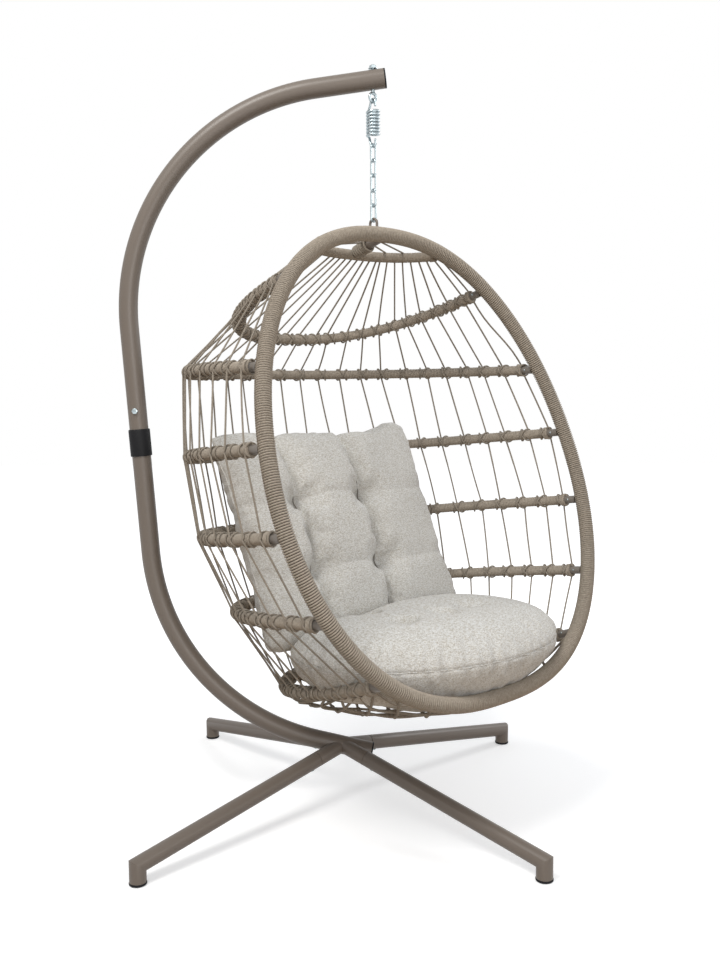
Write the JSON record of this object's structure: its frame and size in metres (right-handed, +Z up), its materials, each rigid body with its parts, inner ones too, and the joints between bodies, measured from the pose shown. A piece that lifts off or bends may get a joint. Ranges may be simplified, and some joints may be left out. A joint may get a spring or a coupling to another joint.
{
  "type": "hanging egg chair",
  "caption": "Egg-shaped hanging chair of cord-laced hoops with grey cushions, on a spring and chain under a taupe C-shaped stand.",
  "frame": {"origin": "centre of the footprint on the floor, under the middle of the bounding box", "axes": "+Z up; the stand is symmetric about a plane X = constant and opens towards -Y; the basket faces between -X and -Y at rest"},
  "size_m": [1.1184, 1.2876, 1.9613],
  "materials": {
    "stand_paint": "fine satin powder coat, taupe grey",
    "basket_paint": "fine satin powder coat, taupe grey",
    "zinc_steel": "bright zinc plated",
    "black_plastic": "matt black",
    "wound_frame": "steel tube wound closely with matt beige taupe cord",
    "cord": "matt beige taupe braided cord",
    "cushion_cloth": "light grey melange woven cloth"
  },
  "bodies": {
    "stand": {"lower_c_tube": "stand_paint", "upper_c_tube": "stand_paint", "joint_sleeve": "zinc_steel", "joint_collar": "black_plastic", "joint_bolt": "zinc_steel", "joint_nut": "zinc_steel", "top_end_cap": "black_plastic", "lower_end_cap": "black_plastic", "leg_rear_left": "stand_paint", "leg_bolt_rear_left": "zinc_steel", "foot_cap_rear_left": "black_plastic", "leg_rear_right": "stand_paint", "leg_bolt_rear_right": "zinc_steel", "foot_cap_rear_right": "black_plastic", "leg_front_left": "stand_paint", "leg_bolt_front_left": "zinc_steel", "foot_cap_front_left": "black_plastic", "leg_front_right": "stand_paint", "leg_bolt_front_right": "zinc_steel", "foot_cap_front_right": "black_plastic"},
    "eye_bolt": {"eye_bolt": "zinc_steel", "eye_bolt_nut": "zinc_steel"},
    "spring": {"hanging_spring": "zinc_steel"},
    "link_1": {"chain_link_1": "zinc_steel"},
    "link_2": {"chain_link_2": "zinc_steel"},
    "link_3": {"chain_link_3": "zinc_steel"},
    "link_4": {"chain_link_4": "zinc_steel"},
    "link_5": {"chain_link_5": "zinc_steel"},
    "basket": {"front_ring": "wound_frame", "top_hoop": "wound_frame", "hoop_1": "wound_frame", "hoop_2": "wound_frame", "hoop_3": "wound_frame", "hoop_4": "wound_frame", "hoop_5": "wound_frame", "bottom_hoop": "wound_frame", "top_bar": "basket_paint", "bar_winding": "cord", "basket_eye": "basket_paint", "cord_panel_1": "cord", "cord_panel_2": "cord", "cord_panel_3": "cord", "cord_panel_4": "cord", "cord_panel_5": "cord", "cord_panel_6": "cord", "bottom_net": "cord", "back_cushion": "cushion_cloth", "seat_cushion": "cushion_cloth"}
  },
  "joints": [
    {"name": "swivel", "type": "hinge", "parent": "stand", "child": "eye_bolt", "pos_m": [0.04712, -0.03418, 1.8788], "axis": [0, 0, 1], "range_deg": [-45, 135]},
    {"name": "spring_swing", "type": "hinge", "parent": "eye_bolt", "child": "spring", "pos_m": [0.04712, -0.03418, 1.8678], "axis": [-0.6972, 0.7169, 0], "range_deg": [-5, 12]},
    {"name": "spring_stretch", "type": "slide", "parent": "spring", "child": "link_1", "axis": [0, 0, -1], "range_m": [0, 0.03], "stiffness_N_per_m": 24000, "springref_m": -0.012, "deforming": ["hanging_spring"]},
    {"name": "link_2_swing", "type": "hinge", "parent": "link_1", "child": "link_2", "pos_m": [0.04712, -0.03418, 1.7172], "axis": [-0.6972, 0.7169, 0], "range_deg": [-4, 10]},
    {"name": "link_3_swing", "type": "hinge", "parent": "link_2", "child": "link_3", "pos_m": [0.04712, -0.03418, 1.679], "axis": [0.7169, 0.6972, 0], "range_deg": [-8, 8]},
    {"name": "link_4_swing", "type": "hinge", "parent": "link_3", "child": "link_4", "pos_m": [0.04712, -0.03418, 1.6408], "axis": [-0.6972, 0.7169, 0], "range_deg": [-4, 10]},
    {"name": "link_5_swing", "type": "hinge", "parent": "link_4", "child": "link_5", "pos_m": [0.04712, -0.03418, 1.6025], "axis": [0.7169, 0.6972, 0], "range_deg": [-8, 8]},
    {"name": "basket_nod", "type": "hinge", "parent": "link_5", "child": "basket", "pos_m": [0.04712, -0.03418, 1.5643], "axis": [-0.6972, 0.7169, 0], "range_deg": [-8, 12]}
  ]
}
